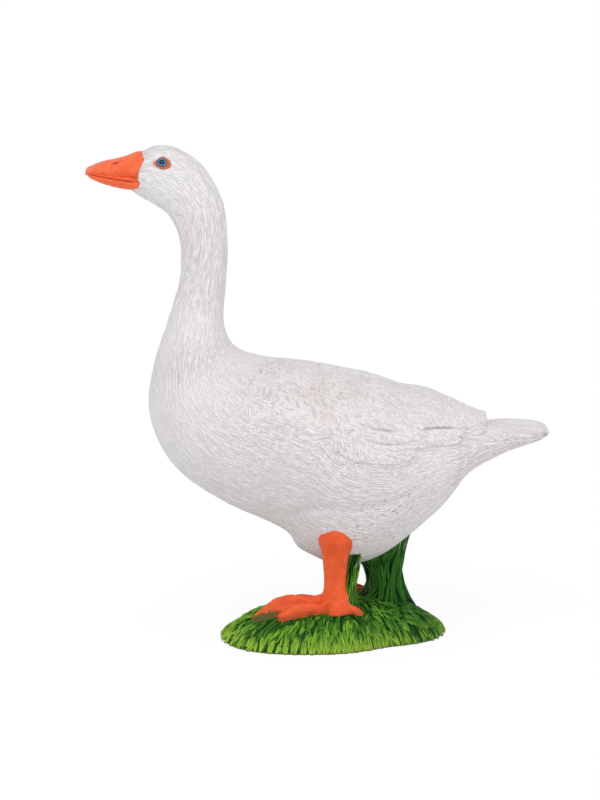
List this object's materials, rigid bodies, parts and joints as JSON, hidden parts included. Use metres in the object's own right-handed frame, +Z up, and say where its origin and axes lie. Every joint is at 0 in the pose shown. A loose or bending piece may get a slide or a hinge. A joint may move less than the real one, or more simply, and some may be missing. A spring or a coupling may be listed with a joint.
{
  "type": "goose figurine",
  "caption": "Small moulded white goose standing on an oval grass base, with an orange bill, webbed orange feet and carved feathers.",
  "frame": {"origin": "centre of the base's flat underside", "axes": "+Z up, -X the way the goose faces, -Y its left side"},
  "size_m": [0.0692, 0.0304, 0.0746],
  "materials": {
    "plumage": "painted off-white with a thin brown and lilac wash in the grooves, satin",
    "bill_and_legs": "painted orange, satin",
    "grass": "painted dark green with lighter green brushed over the raised blades",
    "eye": "painted blue with a black pupil, glossy"
  },
  "bodies": {
    "root": {"goose_figurine": "plumage"}
  },
  "joints": []
}
